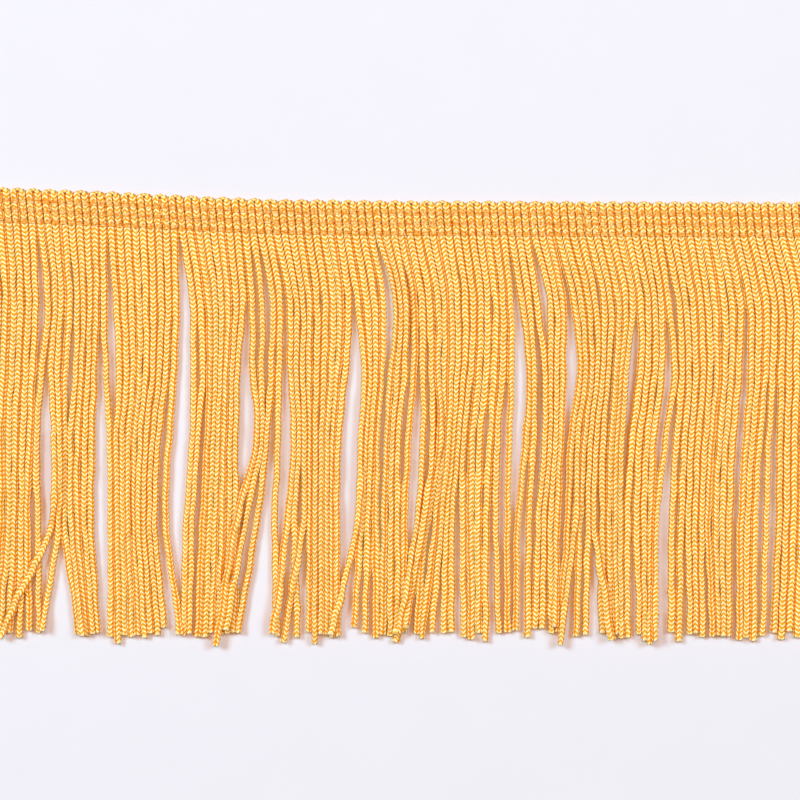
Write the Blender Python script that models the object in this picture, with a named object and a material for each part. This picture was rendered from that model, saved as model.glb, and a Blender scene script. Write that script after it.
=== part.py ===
"""Chainette fringe trim, lying flat: a crocheted heading and one row of cut chainette cords.

X runs along the trim, Y from the cut tips up to the heading and Z up from the surface the trim lies on.
Heights marked "photo" are read from the photograph, in its pixels, and PX turns them into metres.
"""

import math
import random
from typing import NamedTuple

import bmesh
import bpy

# Driving sizes, in metres
CORD_PITCH = 0.0022
CORD_WIDTH = 0.0019
CROWDED_WIDTH = 0.00135
CORD_HEIGHT = 0.0018
CLEARANCE = 0.0003
ROOT_STRIP_DROP = 0.0011
HEADING_WIDTH = 0.0103
HEADING_EDGE_HEIGHT = 0.0010
TURN_STAND_OUT = 0.0011

# Scale of the photograph
PITCH_PHOTO = 7.8
PX = CORD_PITCH / PITCH_PHOTO
ORIGIN_PHOTO_X = 407.5
ORIGIN_PHOTO_Y = 415.7

# The cords, numbered from left to right; two neighbours, the first of them odd, share a turn at the top edge
FIRST_CORD = -3
LAST_CORD = 104
CORD_ZERO_PHOTO = 6.1
PITCH_DRIFT_PHOTO = 3.0
PITCH_DRIFT_CORDS = 99.0
COLUMN_LEAN = 0.09

# Top edge of the heading, along the tops of the turns: photo height at photo places along it
HEADING_TOP_AT = (-25.0, 110.0, 200.0, 270.0, 400.0, 520.0, 840.0)
HEADING_TOP_PHOTO = (186.0, 191.5, 196.0, 199.0, 200.5, 201.0, 202.2)

# Relief across the heading, from its top edge to its lower edge


class Course(NamedTuple):
    """One line along the heading: how far down it lies, and its height on a column's crest and in a groove."""

    down: float
    crest: float
    groove: float


COURSES = (
    Course(down=0.0022, crest=0.0020, groove=0.0013),
    Course(down=0.0036, crest=0.0018, groove=0.0015),
    Course(down=0.0050, crest=0.0021, groove=0.0013),
    Course(down=0.0065, crest=0.0018, groove=0.0015),
    Course(down=0.0080, crest=0.0021, groove=0.0013),
    Course(down=0.0095, crest=0.0018, groove=0.0015),
)

# How the cords fall: photo places of the cords that border a parting or cross over others, at five photo heights
FALL_HEIGHTS = (300.0, 370.0, 440.0, 520.0, 600.0)


class Fall(NamedTuple):
    """Places of one cord at the five heights, and whether it lies over its neighbours where they meet."""

    cord: int
    upper: float
    high: float
    middle: float
    low: float
    bottom: float
    over: bool = False


FALLS = (
    Fall(-3, -8.5, -11.0, -13.5, -13.5, -18.0),
    Fall(0, 14.0, 11.5, 8.5, 9.0, 3.0),
    Fall(3, 36.5, 33.5, 30.5, 28.0, 29.5),
    Fall(4, 48.5, 42.5, 37.0, 38.5, 39.5),
    Fall(5, 56.0, 51.5, 56.0, 54.0, 18.0, over=True),
    Fall(6, 62.0, 58.0, 61.5, 60.0, 47.5, over=True),
    Fall(7, 69.5, 66.0, 64.0, 64.0, 75.5),
    Fall(8, 78.0, 76.5, 71.5, 72.0, 80.0),
    Fall(11, 97.5, 95.0, 92.5, 91.5, 96.5),
    Fall(12, 104.5, 106.5, 110.5, 111.5, 111.5),
    Fall(13, 116.5, 120.0, 116.5, 117.5, 118.0),
    Fall(20, 169.0, 166.5, 159.0, 155.5, 162.0),
    Fall(21, 176.5, 174.5, 169.5, 166.0, 176.5),
    Fall(22, 193.0, 194.0, 193.0, 187.0, 184.5),
    Fall(23, 200.5, 203.0, 198.0, 192.5, 190.5, over=True),
    Fall(24, 208.0, 210.0, 207.5, 203.0, 199.5),
    Fall(29, 243.0, 238.0, 236.0, 236.0, 234.5),
    Fall(30, 252.0, 253.0, 257.0, 236.5, 224.0, over=True),
    Fall(31, 262.0, 261.5, 261.5, 246.0, 231.5, over=True),
    Fall(32, 273.0, 271.5, 267.0, 257.5, 244.0, over=True),
    Fall(33, 280.0, 279.0, 278.0, 275.0, 276.5),
    Fall(34, 289.5, 290.5, 294.0, 287.5, 278.0, over=True),
    Fall(35, 296.5, 296.5, 299.5, 294.5, 296.5),
    Fall(36, 303.0, 303.0, 304.5, 303.5, 290.5, over=True),
    Fall(37, 309.5, 309.5, 310.0, 310.0, 309.5),
    Fall(42, 348.5, 345.5, 338.5, 337.0, 337.5),
    Fall(43, 357.5, 364.5, 361.5, 358.5, 339.5, over=True),
    Fall(44, 366.0, 370.0, 366.0, 361.0, 356.0),
    Fall(46, 382.5, 381.5, 377.0, 375.5, 376.0),
    Fall(47, 396.5, 391.5, 387.0, 384.5, 383.5),
    Fall(49, 405.0, 404.5, 398.0, 397.5, 397.5),
    Fall(50, 413.5, 414.0, 408.5, 404.5, 404.5),
    Fall(51, 421.5, 423.0, 423.0, 417.5, 404.0, over=True),
    Fall(52, 429.5, 431.5, 433.0, 425.0, 410.0, over=True),
    Fall(53, 437.5, 438.0, 440.5, 426.0, 419.0),
    Fall(54, 444.5, 444.5, 444.0, 436.0, 426.5),
    Fall(55, 451.0, 451.0, 448.5, 441.5, 434.5, over=True),
    Fall(56, 457.5, 457.5, 453.0, 446.5, 444.5),
    Fall(57, 465.5, 464.0, 457.5, 452.0, 451.5),
    Fall(58, 473.0, 471.0, 463.5, 462.5, 463.5),
    Fall(60, 487.5, 486.5, 480.0, 478.0, 478.5),
    Fall(61, 495.5, 494.5, 490.0, 486.0, 485.5),
    Fall(62, 503.0, 502.5, 497.0, 495.5, 497.5),
    Fall(63, 510.0, 511.0, 509.0, 507.0, 507.0),
    Fall(64, 521.0, 529.5, 525.5, 517.5, 516.0),
    Fall(65, 528.5, 533.0, 533.0, 528.5, 527.5),
    Fall(66, 536.5, 544.5, 544.5, 538.0, 535.5),
    Fall(67, 549.5, 550.0, 549.5, 544.0, 542.5),
    Fall(68, 556.0, 556.5, 555.0, 550.0, 550.5),
    Fall(69, 562.5, 563.0, 560.5, 557.0, 555.5, over=True),
    Fall(70, 573.0, 579.5, 570.5, 567.5, 560.5),
    Fall(71, 580.5, 585.0, 577.5, 575.5, 564.5, over=True),
    Fall(72, 587.5, 591.0, 584.0, 579.0, 577.0),
    Fall(73, 594.5, 597.0, 590.0, 588.0, 586.0),
    Fall(74, 603.0, 602.0, 596.0, 593.5, 605.0, over=True),
    Fall(75, 610.0, 608.0, 602.5, 602.0, 602.0),
    Fall(76, 617.0, 616.0, 611.0, 608.0, 609.5),
    Fall(78, 632.0, 625.0, 620.5, 620.0, 620.5),
    Fall(79, 639.5, 640.0, 631.5, 627.0, 627.0),
    Fall(80, 647.0, 647.0, 639.0, 636.0, 638.0),
    Fall(82, 660.5, 661.5, 653.5, 650.5, 649.5),
    Fall(83, 667.5, 674.0, 665.0, 655.5, 653.5, over=True),
    Fall(84, 677.5, 681.5, 676.0, 671.5, 671.0),
    Fall(85, 684.5, 688.5, 684.0, 680.5, 679.0),
    Fall(86, 692.0, 695.5, 691.0, 688.0, 689.0),
    Fall(88, 706.5, 709.5, 704.5, 701.0, 701.5),
    Fall(89, 714.5, 717.0, 711.5, 707.5, 710.5),
    Fall(92, 739.5, 738.5, 732.5, 729.0, 728.5),
    Fall(93, 748.5, 750.0, 745.0, 740.0, 739.0),
    Fall(95, 764.5, 764.5, 758.5, 754.0, 753.0),
    Fall(96, 772.5, 772.0, 768.0, 765.5, 763.0),
    Fall(97, 780.0, 780.5, 779.0, 778.0, 774.5),
    Fall(104, 833.0, 833.5, 830.5, 829.5, 827.5),
)

# Where the cut ends lie, as photo heights: most of them within a few pixels, some standing out
TIP_PHOTO = 634.5
TIP_SPREAD_PHOTO = 3.0
TIP_SEED = 11
LONG_TIPS = {13: 643.0, 30: 645.0, 36: 642.0, 38: 643.0, 51: 642.0, 54: 638.0, 59: 639.0, 61: 641.0, 71: 644.5}
LONG_TIPS_RIGHT = {74: 639.0, 81: 640.0, 82: 643.5, 83: 639.5, 85: 641.0, 93: 639.5, 95: 640.5, 98: 639.0}
SHORT_TIPS = {3: 630.0, 6: 630.0, 20: 627.0, 31: 629.0, 44: 627.0, 52: 627.0, 64: 630.0, 66: 628.0, 67: 628.0}
SHORT_TIPS_RIGHT = {69: 626.0, 99: 631.0}

# Heights of the sections along a cord below its root; the last one lies past every cut end
SECTION_HEIGHTS = (268.0, 302.0, 337.0, 372.0, 407.0, 442.0, 478.0, 514.0, 552.0, 592.0, 646.0)
LAST_LEVEL = len(SECTION_HEIGHTS)
SPREAD_ROUNDS = 60
LIFT_ROUNDS = 4
NEIGHBOUR_REACH = 8

YELLOW = (0.94, 0.56, 0.07, 1.0)
HEADING_YELLOW = (0.90, 0.45, 0.04, 1.0)
THREAD_ROUGHNESS = 0.55


def photo_place(x, y):
    """Turns a place in the photograph into X and Y in metres."""
    return (x - ORIGIN_PHOTO_X) * PX, (ORIGIN_PHOTO_Y - y) * PX


def between(places, values, at):
    """Reads a table at a place by straight lines between its rows, level past its ends."""
    if at <= places[0]:
        return values[0]
    for i in range(1, len(places)):
        if at <= places[i]:
            share = (at - places[i - 1]) / (places[i] - places[i - 1])
            return values[i - 1] + share * (values[i] - values[i - 1])
    return values[-1]


def smooth_between(places, values, at):
    """Reads a table by a smooth curve through its rows, and straight on past the last one."""
    last = len(places) - 1
    if at >= places[last]:
        slope = (values[last] - values[last - 1]) / (places[last] - places[last - 1])
        return values[last] + slope * (at - places[last])
    i = 1
    while at > places[i]:
        i += 1
    span = places[i] - places[i - 1]
    t = (at - places[i - 1]) / span
    before = max(i - 2, 0)
    after = min(i + 1, last)
    slope_in = (values[i] - values[before]) / (places[i] - places[before])
    slope_out = (values[after] - values[i - 1]) / (places[after] - places[i - 1])
    curve = (2 * t**3 - 3 * t**2 + 1) * values[i - 1] + (3 * t**2 - 2 * t**3) * values[i]
    return curve + (t**3 - 2 * t**2 + t) * slope_in * span + (t**3 - t**2) * slope_out * span


def heading_top(x):
    """Photo height of the heading's top edge at a photo place along it."""
    return between(HEADING_TOP_AT, HEADING_TOP_PHOTO, x)


def column_line(number):
    """Photo place along the top edge of a column's middle; a half number gives the groove beside it."""
    drift = PITCH_DRIFT_PHOTO * math.sin(math.pi * number / PITCH_DRIFT_CORDS)
    return CORD_ZERO_PHOTO + PITCH_PHOTO * number + drift


def on_heading(number, down):
    """X and Y of the point a given distance below the top edge, on a column that leans to the right."""
    top_x = column_line(number)
    down_photo = down / PX
    return photo_place(top_x + COLUMN_LEAN * down_photo, heading_top(top_x) + down_photo)


def root_height():
    """How far below the top edge the root strip ends."""
    return HEADING_WIDTH + CLEARANCE + ROOT_STRIP_DROP


def cord_numbers():
    """All the cords, from left to right."""
    return range(FIRST_CORD, LAST_CORD + 1)


def tip_heights():
    """Photo height of each cord's cut end."""
    spread = random.Random(TIP_SEED)
    tips = {n: TIP_PHOTO + spread.uniform(-TIP_SPREAD_PHOTO, TIP_SPREAD_PHOTO) for n in cord_numbers()}
    for standing_out in (LONG_TIPS, LONG_TIPS_RIGHT, SHORT_TIPS, SHORT_TIPS_RIGHT):
        tips.update(standing_out)
    return tips


def fallen_places(number):
    """Photo places of a cord at the five fall heights, blended from the guide cords on both sides."""
    guides = [fall.cord for fall in FALLS]
    rows = [(fall.upper, fall.high, fall.middle, fall.low, fall.bottom) for fall in FALLS]
    return [between(guides, column, number) for column in zip(*rows)]


def cord_sections():
    """Photo places of each cord at its root and at the section heights."""
    sections = {}
    for n in cord_numbers():
        top_x = column_line(n)
        root_y = heading_top(top_x) + root_height() / PX
        root_x = top_x + COLUMN_LEAN * (root_y - heading_top(top_x))
        heights = [root_y, *FALL_HEIGHTS]
        places = [root_x, *fallen_places(n)]
        below = [(smooth_between(heights, places, y), y) for y in SECTION_HEIGHTS]
        sections[n] = [(root_x, root_y), *below]
    return sections


def apart(a, b, level):
    """Whether cord b stays clear to the right or left of cord a from one section to the next."""
    least = (CROWDED_WIDTH + CLEARANCE) / PX
    first = b[level][0] - a[level][0]
    second = b[level + 1][0] - a[level + 1][0]
    return min(first, second) >= least or max(first, second) <= -least


def lifted_sections(sections, over, ground):
    """For each crossing cord, the sections at which it lies on top of others."""
    lifted = {n: set() for n in over}
    for n in over:
        for level in range(LAST_LEVEL):
            if not all(apart(sections[n], sections[other], level) for other in ground):
                lifted[n].update((level, level + 1))
        lifted[n].discard(0)
    return lifted


def spread_level(sections, cords, level):
    """Moves the cords of one layer apart, evenly to both sides, until each has its width and clearance."""
    least = (CROWDED_WIDTH + CLEARANCE) / PX
    for _ in range(SPREAD_ROUNDS):
        for left, right in zip(cords, cords[1:]):
            left_x, left_y = sections[left][level]
            right_x, right_y = sections[right][level]
            short = least - (right_x - left_x)
            if short > 0:
                sections[left][level] = (left_x - short / 2, left_y)
                sections[right][level] = (right_x + short / 2, right_y)


def settled_cords():
    """The cords' sections with room between them, and where the crossing cords are lifted."""
    sections = cord_sections()
    over = [fall.cord for fall in FALLS if fall.over]
    ground = [n for n in cord_numbers() if n not in over]
    lifted = {}
    for _ in range(LIFT_ROUNDS):
        lifted = lifted_sections(sections, over, ground)
        for level in range(1, LAST_LEVEL + 1):
            spread_level(sections, [n for n in cord_numbers() if level not in lifted.get(n, ())], level)
            spread_level(sections, [n for n in over if level in lifted[n]], level)
    return sections, lifted


def side_by_side(lifted, a, b, level):
    """Whether two cords need room beside each other at a section: not where one lies over the other all around it."""
    around = range(max(level - 1, 0), min(level + 1, LAST_LEVEL) + 1)
    return not all((at in lifted.get(a, ())) != (at in lifted.get(b, ())) for at in around)


def cord_sides(sections, lifted, n, level):
    """How far a cord reaches to the left and right of its place: half its width, or less where its neighbours crowd it."""
    left = CORD_WIDTH / 2 / PX
    right = left
    place = sections[n][level][0]
    near = range(max(n - NEIGHBOUR_REACH, FIRST_CORD), min(n + NEIGHBOUR_REACH, LAST_CORD) + 1)
    for other in near:
        if other == n or not side_by_side(lifted, n, other, level):
            continue
        offset = sections[other][level][0] - place
        room = (abs(offset) - CLEARANCE / PX) / 2
        if offset > 0:
            right = min(right, room)
        else:
            left = min(left, room)
    return left, right


def cord_rows(sections, lifted, n, tip):
    """Photo left, right and height and the underside's rise at each section of a cord, the last one at its cut end."""
    rest = CORD_HEIGHT + CLEARANCE
    rows = []
    for level, (x, y) in enumerate(sections[n]):
        left, right = cord_sides(sections, lifted, n, level)
        rows.append((x - left, x + right, y, rest if level in lifted.get(n, ()) else 0.0))
    last, past = rows[-2:]
    share = (tip - last[2]) / (past[2] - last[2])
    return [*rows[:-1], tuple(a + share * (b - a) for a, b in zip(last, past))]


def section_ring(mesh, row):
    """Four corners of a cord's section: front left, front right, back right and back left."""
    left, right, y, low = row
    left_x, place_y = photo_place(left, y)
    right_x = photo_place(right, y)[0]
    corners = ((left_x, CORD_HEIGHT), (right_x, CORD_HEIGHT), (right_x, 0.0), (left_x, 0.0))
    return [mesh.verts.new((x, place_y, low + height)) for x, height in corners]


def bridge(mesh, upper, lower):
    """Joins two rings of corners by a band of four-sided faces."""
    count = len(upper)
    for i in range(count):
        j = (i + 1) % count
        mesh.faces.new((upper[i], upper[j], lower[j], lower[i]))


def strip_edge(mesh, x, down):
    """Front and back corner of the root strip at a photo place along it, a given distance below the top edge."""
    edge_x, edge_y = photo_place(x, heading_top(x) + down / PX)
    return mesh.verts.new((edge_x, edge_y, CORD_HEIGHT)), mesh.verts.new((edge_x, edge_y, 0.0))


def make_fringe():
    """The cords and the narrow strip that holds their roots, as one closed mesh."""
    sections, lifted = settled_cords()
    tips = tip_heights()
    mesh = bmesh.new()
    previous = None
    for n in cord_numbers():
        root, *below = cord_rows(sections, lifted, n, tips[n])
        edges = []
        for x in root[:2]:
            top = strip_edge(mesh, x, HEADING_WIDTH + CLEARANCE)
            foot = strip_edge(mesh, x, root_height())
            edges.append((top[0], foot[0], foot[1], top[1]))
        if previous is None:
            mesh.faces.new(tuple(reversed(edges[0])))
        else:
            bridge(mesh, edges[0], previous)
        left, right = edges
        mesh.faces.new((left[0], left[1], right[1], right[0]))
        mesh.faces.new((left[2], left[3], right[3], right[2]))
        mesh.faces.new((left[3], left[0], right[0], right[3]))
        ring = [left[1], right[1], right[2], left[2]]
        for row in below:
            following = section_ring(mesh, row)
            bridge(mesh, following, ring)
            ring = following
        mesh.faces.new(ring)
        previous = right
    mesh.faces.new(previous)
    bmesh.ops.recalc_face_normals(mesh, faces=mesh.faces)
    return mesh


def heading_section(mesh, number, ridge, edge):
    """Corners around the heading at one line across it, from the underside at the top edge over the relief and back."""
    courses = [(c.down, c.crest if ridge else c.groove) for c in COURSES]
    profile = [(edge, 0.0), (edge, HEADING_EDGE_HEIGHT), *courses]
    profile += [(HEADING_WIDTH, HEADING_EDGE_HEIGHT), (HEADING_WIDTH, 0.0)]
    corners = []
    for down, height in profile:
        x, y = on_heading(number, down)
        corners.append(mesh.verts.new((x, y, height)))
    return corners


def make_heading():
    """The bound band: a rib for each column, three pressed rows along it, and a turn of cord over every second groove."""
    mesh = bmesh.new()
    first = heading_section(mesh, FIRST_CORD - 0.5, False, TURN_STAND_OUT)
    mesh.faces.new(first)
    previous = first
    for n in cord_numbers():
        turns_right = n % 2 == 1
        middle = heading_section(mesh, n, True, TURN_STAND_OUT)
        bridge(mesh, previous, middle)
        groove = heading_section(mesh, n + 0.5, False, 0.0 if turns_right else TURN_STAND_OUT)
        bridge(mesh, middle, groove)
        previous = groove
    mesh.faces.new(tuple(reversed(previous)))
    bmesh.ops.recalc_face_normals(mesh, faces=mesh.faces)
    return mesh


def thread(name, colour):
    """A dyed rayon thread as a plain Principled material."""
    material = bpy.data.materials.new(name)
    material.use_nodes = True
    shader = material.node_tree.nodes["Principled BSDF"]
    shader.inputs["Base Color"].default_value = colour
    shader.inputs["Roughness"].default_value = THREAD_ROUGHNESS
    shader.inputs["Metallic"].default_value = 0.0
    material.diffuse_color = colour
    return material


def add_piece(collection, name, mesh, material):
    """Puts a finished mesh into the scene under its own name and material."""
    data = bpy.data.meshes.new(name)
    mesh.to_mesh(data)
    mesh.free()
    data.materials.append(material)
    piece = bpy.data.objects.new(name, data)
    collection.objects.link(piece)
    return piece


def main():
    """Clears the scene and builds the trim."""
    for item in list(bpy.data.objects):
        bpy.data.objects.remove(item)
    collection = bpy.data.collections.new("Chainette fringe trim")
    bpy.context.scene.collection.children.link(collection)
    add_piece(collection, "heading", make_heading(), thread("Heading thread", HEADING_YELLOW))
    add_piece(collection, "fringe", make_fringe(), thread("Chainette cord", YELLOW))


main()
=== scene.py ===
"""Looks of the chainette fringe trim: knitted rayon cords, their bound heading, floor, light and camera."""

import logging
import math
from dataclasses import dataclass, field
from enum import Enum
from typing import Any, NamedTuple, Sequence

import bpy
import numpy as np
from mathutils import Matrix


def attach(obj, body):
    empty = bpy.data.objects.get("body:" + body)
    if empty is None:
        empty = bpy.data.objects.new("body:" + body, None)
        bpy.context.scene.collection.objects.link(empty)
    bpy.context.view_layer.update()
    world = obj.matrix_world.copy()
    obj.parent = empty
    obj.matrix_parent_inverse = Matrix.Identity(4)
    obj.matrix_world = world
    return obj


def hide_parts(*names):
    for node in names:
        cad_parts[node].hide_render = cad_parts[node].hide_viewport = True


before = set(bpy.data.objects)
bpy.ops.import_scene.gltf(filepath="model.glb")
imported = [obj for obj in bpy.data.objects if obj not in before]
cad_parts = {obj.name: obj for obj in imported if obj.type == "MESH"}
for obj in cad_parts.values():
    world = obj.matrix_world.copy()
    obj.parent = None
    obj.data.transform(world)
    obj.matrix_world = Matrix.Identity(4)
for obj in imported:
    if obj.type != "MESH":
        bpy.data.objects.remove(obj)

LOG = logging.getLogger("fringe")
MM = 0.001

# Scale of the photograph: the cord pitch in its pixels and in metres, and the place of the part's origin
CORD_PITCH = 2.2 * MM
PITCH_PHOTO = 7.8
PX = CORD_PITCH / PITCH_PHOTO
ORIGIN_PHOTO_X = 407.5
ORIGIN_PHOTO_Y = 415.7
PHOTO_SIDE = 800.0

# The cords, numbered from left to right; an odd one and the next share a turn at the top edge
FIRST_CORD = -3
LAST_CORD = 104
CORD_ZERO_PHOTO = 6.1
PITCH_DRIFT_PHOTO = 3.0
PITCH_DRIFT_CORDS = 99.0
COLUMN_LEAN = 0.09
HEADING_WIDTH = 10.3 * MM

# Top edge of the heading: photo height at photo places along it
HEADING_TOP_AT = (-25.0, 110.0, 200.0, 270.0, 400.0, 520.0, 840.0)
HEADING_TOP_PHOTO = (186.0, 191.5, 196.0, 199.0, 200.5, 201.0, 202.2)

# How the cords fall: photo places of cords that border a parting or cross others, at five photo heights
FALL_HEIGHTS = (300.0, 370.0, 440.0, 520.0, 600.0)


class Fall(NamedTuple):
    """Places of one cord at the five heights, and whether it lies over its neighbours where they meet."""

    cord: int
    upper: float
    high: float
    middle: float
    low: float
    bottom: float
    over: bool = False


FALLS = (
    Fall(-3, -8.5, -11.0, -13.5, -13.5, -18.0),
    Fall(0, 14.0, 11.5, 8.5, 9.0, 3.0),
    Fall(3, 36.5, 33.5, 30.5, 28.0, 29.5),
    Fall(4, 48.5, 42.5, 37.0, 38.5, 39.5),
    Fall(5, 56.0, 51.5, 56.0, 54.0, 18.0, over=True),
    Fall(6, 62.0, 58.0, 61.5, 60.0, 47.5, over=True),
    Fall(7, 69.5, 66.0, 64.0, 64.0, 75.5),
    Fall(8, 78.0, 76.5, 71.5, 72.0, 80.0),
    Fall(11, 97.5, 95.0, 92.5, 91.5, 96.5),
    Fall(12, 104.5, 106.5, 110.5, 111.5, 111.5),
    Fall(13, 116.5, 120.0, 116.5, 117.5, 118.0),
    Fall(20, 169.0, 166.5, 159.0, 155.5, 162.0),
    Fall(21, 176.5, 174.5, 169.5, 166.0, 176.5),
    Fall(22, 193.0, 194.0, 193.0, 187.0, 184.5),
    Fall(23, 200.5, 203.0, 198.0, 192.5, 190.5, over=True),
    Fall(24, 208.0, 210.0, 207.5, 203.0, 199.5),
    Fall(29, 243.0, 238.0, 236.0, 236.0, 234.5),
    Fall(30, 252.0, 253.0, 257.0, 236.5, 224.0, over=True),
    Fall(31, 262.0, 261.5, 261.5, 246.0, 231.5, over=True),
    Fall(32, 273.0, 271.5, 267.0, 257.5, 244.0, over=True),
    Fall(33, 280.0, 279.0, 278.0, 275.0, 276.5),
    Fall(34, 289.5, 290.5, 294.0, 287.5, 278.0, over=True),
    Fall(35, 296.5, 296.5, 299.5, 294.5, 296.5),
    Fall(36, 303.0, 303.0, 304.5, 303.5, 290.5, over=True),
    Fall(37, 309.5, 309.5, 310.0, 310.0, 309.5),
    Fall(42, 348.5, 345.5, 338.5, 337.0, 337.5),
    Fall(43, 357.5, 364.5, 361.5, 358.5, 339.5, over=True),
    Fall(44, 366.0, 370.0, 366.0, 361.0, 356.0),
    Fall(46, 382.5, 381.5, 377.0, 375.5, 376.0),
    Fall(47, 396.5, 391.5, 387.0, 384.5, 383.5),
    Fall(49, 405.0, 404.5, 398.0, 397.5, 397.5),
    Fall(50, 413.5, 414.0, 408.5, 404.5, 404.5),
    Fall(51, 421.5, 423.0, 423.0, 417.5, 404.0, over=True),
    Fall(52, 429.5, 431.5, 433.0, 425.0, 410.0, over=True),
    Fall(53, 437.5, 438.0, 440.5, 426.0, 419.0),
    Fall(54, 444.5, 444.5, 444.0, 436.0, 426.5),
    Fall(55, 451.0, 451.0, 448.5, 441.5, 434.5, over=True),
    Fall(56, 457.5, 457.5, 453.0, 446.5, 444.5),
    Fall(57, 465.5, 464.0, 457.5, 452.0, 451.5),
    Fall(58, 473.0, 471.0, 463.5, 462.5, 463.5),
    Fall(60, 487.5, 486.5, 480.0, 478.0, 478.5),
    Fall(61, 495.5, 494.5, 490.0, 486.0, 485.5),
    Fall(62, 503.0, 502.5, 497.0, 495.5, 497.5),
    Fall(63, 510.0, 511.0, 509.0, 507.0, 507.0),
    Fall(64, 521.0, 529.5, 525.5, 517.5, 516.0),
    Fall(65, 528.5, 533.0, 533.0, 528.5, 527.5),
    Fall(66, 536.5, 544.5, 544.5, 538.0, 535.5),
    Fall(67, 549.5, 550.0, 549.5, 544.0, 542.5),
    Fall(68, 556.0, 556.5, 555.0, 550.0, 550.5),
    Fall(69, 562.5, 563.0, 560.5, 557.0, 555.5, over=True),
    Fall(70, 573.0, 579.5, 570.5, 567.5, 560.5),
    Fall(71, 580.5, 585.0, 577.5, 575.5, 564.5, over=True),
    Fall(72, 587.5, 591.0, 584.0, 579.0, 577.0),
    Fall(73, 594.5, 597.0, 590.0, 588.0, 586.0),
    Fall(74, 603.0, 602.0, 596.0, 593.5, 605.0, over=True),
    Fall(75, 610.0, 608.0, 602.5, 602.0, 602.0),
    Fall(76, 617.0, 616.0, 611.0, 608.0, 609.5),
    Fall(78, 632.0, 625.0, 620.5, 620.0, 620.5),
    Fall(79, 639.5, 640.0, 631.5, 627.0, 627.0),
    Fall(80, 647.0, 647.0, 639.0, 636.0, 638.0),
    Fall(82, 660.5, 661.5, 653.5, 650.5, 649.5),
    Fall(83, 667.5, 674.0, 665.0, 655.5, 653.5, over=True),
    Fall(84, 677.5, 681.5, 676.0, 671.5, 671.0),
    Fall(85, 684.5, 688.5, 684.0, 680.5, 679.0),
    Fall(86, 692.0, 695.5, 691.0, 688.0, 689.0),
    Fall(88, 706.5, 709.5, 704.5, 701.0, 701.5),
    Fall(89, 714.5, 717.0, 711.5, 707.5, 710.5),
    Fall(92, 739.5, 738.5, 732.5, 729.0, 728.5),
    Fall(93, 748.5, 750.0, 745.0, 740.0, 739.0),
    Fall(95, 764.5, 764.5, 758.5, 754.0, 753.0),
    Fall(96, 772.5, 772.0, 768.0, 765.5, 763.0),
    Fall(97, 780.0, 780.5, 779.0, 778.0, 774.5),
    Fall(104, 833.0, 833.5, 830.5, 829.5, 827.5),
)

# Angle of a cord's first column at which the middle of a wale faces up
WALE_UP = math.pi / 6

# Angle round the cord, from its first column, at which it faces the floor
UNDERSIDE_TURN = 1.5 * math.pi - WALE_UP

# Place on the cord's UV map, on a leg's lower slope, that a cut end takes its colour from
CAP_UV = (0.083, 0.26)

# Where the cut ends lie, as photo heights
TIP_PHOTO = 634.5
TIP_SPREAD_PHOTO = 3.0
TIP_SEED = 11
LONG_TIPS = {13: 643.0, 30: 645.0, 36: 642.0, 38: 643.0, 51: 642.0, 54: 638.0, 59: 639.0, 61: 641.0, 71: 644.5}
LONG_TIPS_RIGHT = {74: 639.0, 81: 640.0, 82: 643.5, 83: 639.5, 85: 641.0, 93: 639.5, 95: 640.5, 98: 639.0}
SHORT_TIPS = {3: 630.0, 6: 630.0, 20: 627.0, 31: 629.0, 44: 627.0, 52: 627.0, 64: 630.0, 66: 628.0, 67: 628.0}
SHORT_TIPS_RIGHT = {69: 626.0, 99: 631.0}


class Slot(Enum):
    """Material slots of the record, by name; no piece in this script takes its finish from them."""

    HEADING = "heading_thread"
    CORD = "chainette_cord"


def srgb(code: str) -> tuple[float, float, float, float]:
    """Turns an sRGB hex value into a linear colour.

    Args:
        code: Six hex digits, with or without a leading number sign.

    Returns:
        The linear red, green and blue, and an alpha of one.
    """
    digits = code.lstrip("#")
    parts = [int(digits[i : i + 2], 16) / 255 for i in (0, 2, 4)]
    linear = [c / 12.92 if c <= 0.04045 else ((c + 0.055) / 1.055) ** 2.4 for c in parts]
    return (linear[0], linear[1], linear[2], 1.0)


def node(
    tree: bpy.types.NodeTree, kind: str, settings: dict[str, Any], links: dict[str, Any]
) -> bpy.types.Node:
    """Adds a shader node.

    Args:
        tree: The node tree that it goes into.
        kind: The node's type name.
        settings: Properties of the node, or values of the inputs with these names.
        links: Output sockets to join to the inputs with these names.

    Returns:
        The new node.
    """
    made = tree.nodes.new(kind)
    for name, value in settings.items():
        if name in made.inputs:
            made.inputs[name].default_value = value
        else:
            setattr(made, name, value)
    for name, source in links.items():
        tree.links.new(source, made.inputs[int(name) if name.isdigit() else name])
    return made


def let_through(
    tree: bpy.types.NodeTree, shader: bpy.types.Node, colour: str, share: float | bpy.types.NodeSocket
) -> None:
    """Lets a share of the light through a yarn's surface, as loose rayon does, so that creases stay warm.

    Args:
        tree: The material's node tree.
        shader: Its main shader.
        colour: What is left of white light on the far side.
        share: How much of the surface passes light on instead of throwing it back, one value or a socket.
    """
    through = node(tree, "ShaderNodeBsdfTranslucent", {"Color": srgb(colour)}, {})
    both = node(tree, "ShaderNodeMixShader", {}, {"1": shader.outputs[0], "2": through.outputs[0]})
    if isinstance(share, bpy.types.NodeSocket):
        tree.links.new(share, both.inputs[0])
    else:
        both.inputs[0].default_value = share
    tree.links.new(both.outputs[0], tree.nodes["Material Output"].inputs["Surface"])


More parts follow.
